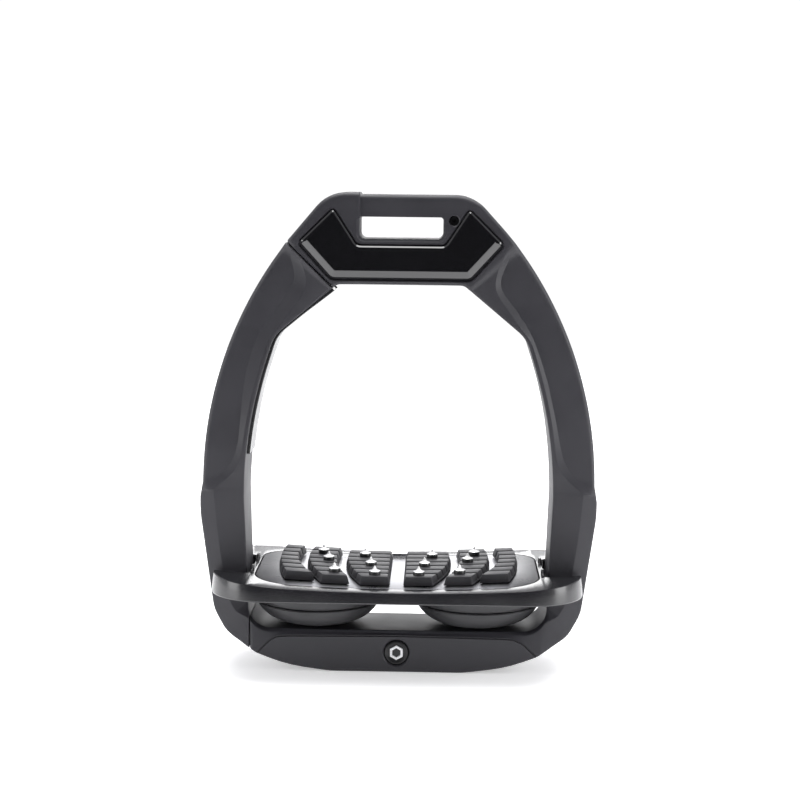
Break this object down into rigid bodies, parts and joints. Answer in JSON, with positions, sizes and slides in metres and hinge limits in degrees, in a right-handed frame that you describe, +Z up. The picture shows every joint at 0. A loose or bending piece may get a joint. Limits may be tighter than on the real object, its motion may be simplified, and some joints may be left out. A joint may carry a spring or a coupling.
{
  "type": "stirrup iron",
  "caption": "Safety stirrup iron with a black moulded frame, an outward-opening sprung side arm and a wide cushioned, studded tread.",
  "frame": {"origin": "middle of the flat under the base", "axes": "+X across the foot towards the fixed arm's side, +Y towards the rear of the tread, +Z up to the leather slot"},
  "size_m": [0.1532, 0.078, 0.1856],
  "materials": {
    "composite": "matte charcoal moulded composite, slightly violet, softly satin where it catches light",
    "gloss_inlay": "piano-black polished plastic",
    "steel": "turned stainless steel",
    "rubber": "matte ribbed black rubber",
    "elastomer": "matte charcoal elastomer",
    "satin_alloy": "satin dark anodised alloy with bright edges",
    "liner": "smooth black liner strip"
  },
  "bodies": {
    "frame": {"main_frame": "composite", "inlay_front": "gloss_inlay", "inlay_rear": "gloss_inlay", "eye_screw": "steel", "latch_keeper": "steel", "housing_latch_screw": "steel", "hinge_pin": "steel", "hinge_bush_front": "satin_alloy", "hinge_bush_rear": "satin_alloy", "return_spring_front": "steel", "return_spring_rear": "steel", "base_cap": "rubber", "damper_left": "elastomer", "damper_right": "elastomer"},
    "opening_arm": {"release_arm": "composite", "arm_liner": "liner", "latch_magnet": "steel", "arm_latch_screw": "steel"},
    "tread": {"tread_tray": "satin_alloy", "grip_insert": "satin_alloy", "grip_pad_1": "rubber", "grip_pad_2": "rubber", "grip_pad_3": "rubber", "grip_pad_4": "rubber", "grip_pad_5": "rubber", "grip_pad_6": "rubber", "stud_1": "steel", "stud_2": "steel", "stud_3": "steel", "stud_4": "steel", "stud_5": "steel", "stud_6": "steel", "stud_7": "steel", "stud_8": "steel", "stud_9": "steel", "stud_10": "steel", "stud_11": "steel", "stud_12": "steel", "insert_clip": "steel", "insert_screw_1": "steel", "insert_screw_2": "steel", "insert_screw_3": "steel", "insert_screw_4": "steel", "damper_cup_left": "composite", "damper_cup_right": "composite", "damper_bolt_left": "steel", "damper_bolt_right": "steel", "bolt_washer_left": "steel", "bolt_washer_right": "steel"}
  },
  "joints": [
    {"name": "arm_release", "type": "hinge", "parent": "frame", "child": "opening_arm", "pos_m": [-0.0515, 0, 0.011], "axis": [0, -1, 0], "range_deg": [0, 75], "stiffness_Nm_per_rad": 0.06, "springref_deg": -68.75},
    {"name": "tread_cushion", "type": "slide", "parent": "frame", "child": "tread", "axis": [0, 0, 1], "range_m": [-0.0025, 0], "stiffness_N_per_m": 60000, "springref_m": 0.0003, "deforming": ["damper_left", "damper_right"]}
  ]
}
